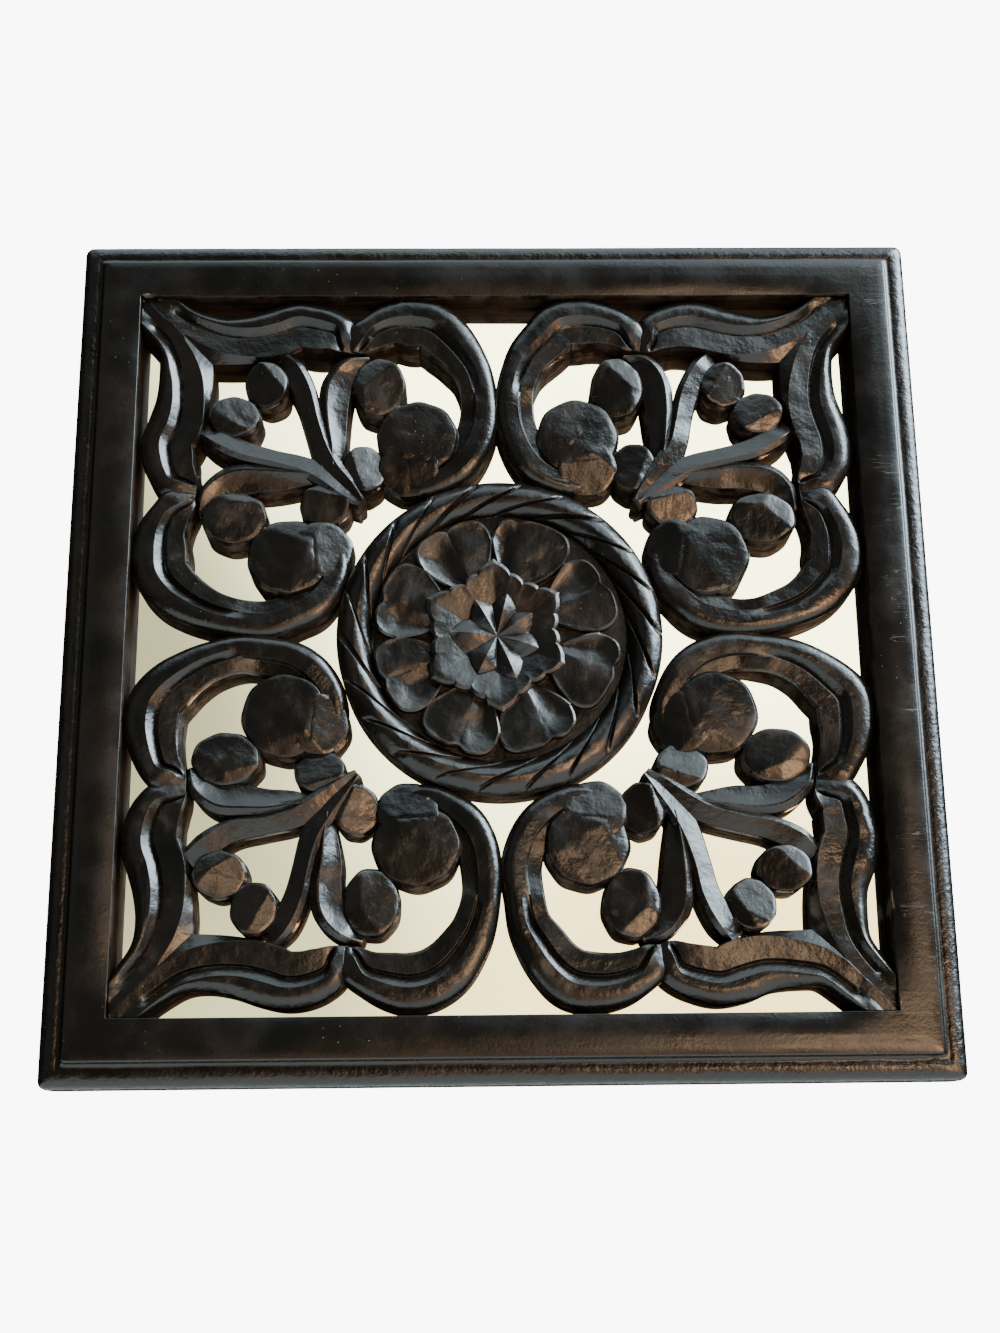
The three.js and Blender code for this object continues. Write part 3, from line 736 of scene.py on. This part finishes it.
def lip_texture(n, axes):
    """The rough tooling on the rounded lip outside the field."""
    out = n.ramp(outward(n, axes), 0.1428, 0.1445)
    return n.math("MULTIPLY", out, n.noise(420, 3, 0.6))


def surface_checks(n, axes):
    """Short fine checks across the right rail, and a few scratches."""
    x = axes.outputs["X"]
    field = n.math("MULTIPLY", n.ramp(x, 0.1300, 0.1310), n.ramp(x, 0.1414, 0.1410))
    lines = n.noise(1, 2, 0.5, vector=n.stretched((34, 1, 520), (0, 0.05, 0)), distortion=0.3)
    thin = n.math("SUBTRACT", 1.0, n.ramp(n.math("ABSOLUTE", n.math("SUBTRACT", lines, 0.5)), 0.0, 0.008))
    some = n.ramp(n.noise(1, 2, 0.5, vector=n.stretched((60, 1, 90))), 0.55, 0.62)
    return n.math("MULTIPLY", n.math("MULTIPLY", thin, some), field, True)


def silvered_glass():
    n = Nodes("silvered_glass")
    n.shader.inputs["Metallic"].default_value = 1.0
    tint = n.mix(n.ramp(n.noise(14, 4), 0.35, 0.7), (0.93, 0.92, 0.84, 1), (0.9, 0.89, 0.8, 1))
    n.wire(tint, n.shader.inputs["Base Color"])
    n.shader.inputs["Roughness"].default_value = 0.0
    return n.material


def brown_board():
    n = Nodes("brown_board")
    fibres = n.noise(1, 5, 0.65, vector=n.stretched((900, 900, 900)))
    colour = n.mix(n.ramp(fibres, 0.3, 0.75), (0.22, 0.13, 0.07, 1), (0.29, 0.18, 0.1, 1))
    n.wire(colour, n.shader.inputs["Base Color"])
    n.shader.inputs["Roughness"].default_value = 0.85
    n.wire(n.bump(fibres, 0.0002, 0.6), n.shader.inputs["Normal"])
    return n.material


def dress(obj, material):
    obj.data.materials.clear()
    obj.data.materials.append(material)


dress(panel, black_lacquer("carved_lacquer", True))
dress(rails, black_lacquer("frame_lacquer", False))
dress(bpy.data.objects["mirror_glass"], silvered_glass())
dress(bpy.data.objects["backing_board"], brown_board())
for piece, node in ((panel, "carved_panel"), (rails, "frame")):
    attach(piece, "root")
    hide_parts(node)

# The floor, well below the plaque as it hangs
floor_mesh = bpy.data.meshes.new("floor")
bm = bmesh.new()
bmesh.ops.create_grid(bm, x_segments=2, y_segments=2, size=1.3)
bm.to_mesh(floor_mesh)
bm.free()
floor = bpy.data.objects.new("floor", floor_mesh)
floor.location = (0, 0, -0.9)
bpy.context.scene.collection.objects.link(floor)
pale = Nodes("pale_floor")
pale_tone = pale.mix(pale.noise(3, 2), (0.62, 0.58, 0.52, 1), (0.66, 0.62, 0.56, 1))
pale.wire(pale_tone, pale.shader.inputs["Base Color"])
pale.shader.inputs["Roughness"].default_value = 0.8
dress(floor, pale.material)

# The camera, at the height and tilt that the photo was taken with
camera_data = bpy.data.cameras.new("camera")
camera_data.lens = 46.79
camera = bpy.data.objects.new("camera", camera_data)
camera.location = (-0.0107, -0.58524, -0.17046)
camera.rotation_euler = Euler([math.radians(a) for a in (105.644, 0.629, -0.892)])
bpy.context.scene.collection.objects.link(camera)
bpy.context.scene.camera = camera


def card(name, at, size, colour, power, target=(0, 0, 0)):
    """A soft rectangular light that faces the target."""
    data = bpy.data.lights.new(name, "AREA")
    data.shape = "RECTANGLE"
    data.size, data.size_y = size
    data.color = colour
    data.energy = power
    light = bpy.data.objects.new(name, data)
    light.location = at
    light.rotation_euler = (Vector(target) - Vector(at)).to_track_quat("-Z", "Y").to_euler()
    bpy.context.scene.collection.objects.link(light)


card("window", (1.5, -0.6, 1.15), (0.7, 1.0), (0.84, 0.94, 1.0), 14)
card("warm", (0.62, -1.0, -0.3), (0.35, 0.3), (1.0, 0.6, 0.34), 5)
card("fill", (-1.2, -1.2, 0.4), (1.2, 1.2), (0.95, 1.0, 0.97), 0.8)


def sky(glows, base, room, seen):
    """Soft glows on a dim base light the wood, the mirror shows a pale room, and the camera sees white."""
    world = bpy.data.worlds.new("surroundings")
    bpy.context.scene.world = world
    world.use_nodes = True
    tree = world.node_tree
    tree.nodes.clear()
    link = tree.links.new

    def add(kind, **settings):
        node = tree.nodes.new(kind)
        for key, value in settings.items():
            setattr(node, key, value)
        return node

    way = add("ShaderNodeTexCoord").outputs["Generated"]

    def glowing(colour, spots):
        total = add("ShaderNodeRGB").outputs[0]
        total.default_value = (*colour, 1)
        for (azimuth, elevation), wide, edge, glow in spots:
            a, e = math.radians(azimuth), math.radians(elevation)
            dot = add("ShaderNodeVectorMath", operation="DOT_PRODUCT")
            link(way, dot.inputs[0])
            dot.inputs[1].default_value = (math.sin(a) * math.cos(e), -math.cos(a) * math.cos(e), math.sin(e))
            shape = add("ShaderNodeMapRange", interpolation_type="SMOOTHSTEP")
            link(dot.outputs["Value"], shape.inputs["Value"])
            shape.inputs["From Min"].default_value = math.cos(math.radians(wide + edge))
            shape.inputs["From Max"].default_value = math.cos(math.radians(wide))
            mix = add("ShaderNodeMix", data_type="RGBA")
            link(shape.outputs["Result"], mix.inputs["Factor"])
            link(total, mix.inputs["A"])
            mix.inputs["B"].default_value = (*glow, 1)
            total = mix.outputs["Result"]
        background = add("ShaderNodeBackground")
        link(total, background.inputs["Color"])
        return background.outputs[0]

    path = add("ShaderNodeLightPath")

    def either(test, no, yes):
        choose = add("ShaderNodeMixShader")
        link(test, choose.inputs["Fac"])
        link(no, choose.inputs[1])
        link(yes, choose.inputs[2])
        return choose.outputs[0]

    straight = add("ShaderNodeMath", operation="LESS_THAN")
    link(path.outputs["Ray Depth"], straight.inputs[0])
    straight.inputs[1].default_value = 2.5
    mirrored = add("ShaderNodeMath", operation="MULTIPLY")
    link(path.outputs["Is Singular Ray"], mirrored.inputs[0])
    link(straight.outputs[0], mirrored.inputs[1])
    lit = either(mirrored.outputs[0], glowing(base, glows), glowing(*room))
    whole = either(path.outputs["Is Camera Ray"], lit, glowing(seen, []))
    link(whole, add("ShaderNodeOutputWorld").inputs["Surface"])


# Glows: [azimuth to the right of straight out of the plaque, elevation], radius, soft edge, colour
WOOD_GLOWS = [
    ((68, 37), 16, 18, (19.0, 23.2, 26.0)),
    ((5, 78), 10, 34, (2.0, 2.4, 2.6)),
    ((42, -28), 10, 15, (6.6, 3.6, 1.85)),
    ((29, 41), 8, 11, (3.6, 4.3, 4.6)),
    ((6, -27), 8, 14, (1.5, 0.85, 0.48)),
    ((13, -2), 3, 6, (9.5, 6.4, 3.9)),
]
ROOM_GLOWS = [
    ((14, 25), 11, 15, (7.6, 7.4, 4.6)),
    ((9, 1), 6, 9, (4.2, 3.4, 1.6)),
    ((-17, 14), 5, 9, (0.9, 0.85, 0.52)),
]
sky(WOOD_GLOWS, base=(0.034, 0.035, 0.031), room=((1.6, 1.55, 0.86), ROOM_GLOWS), seen=(9, 9, 9))
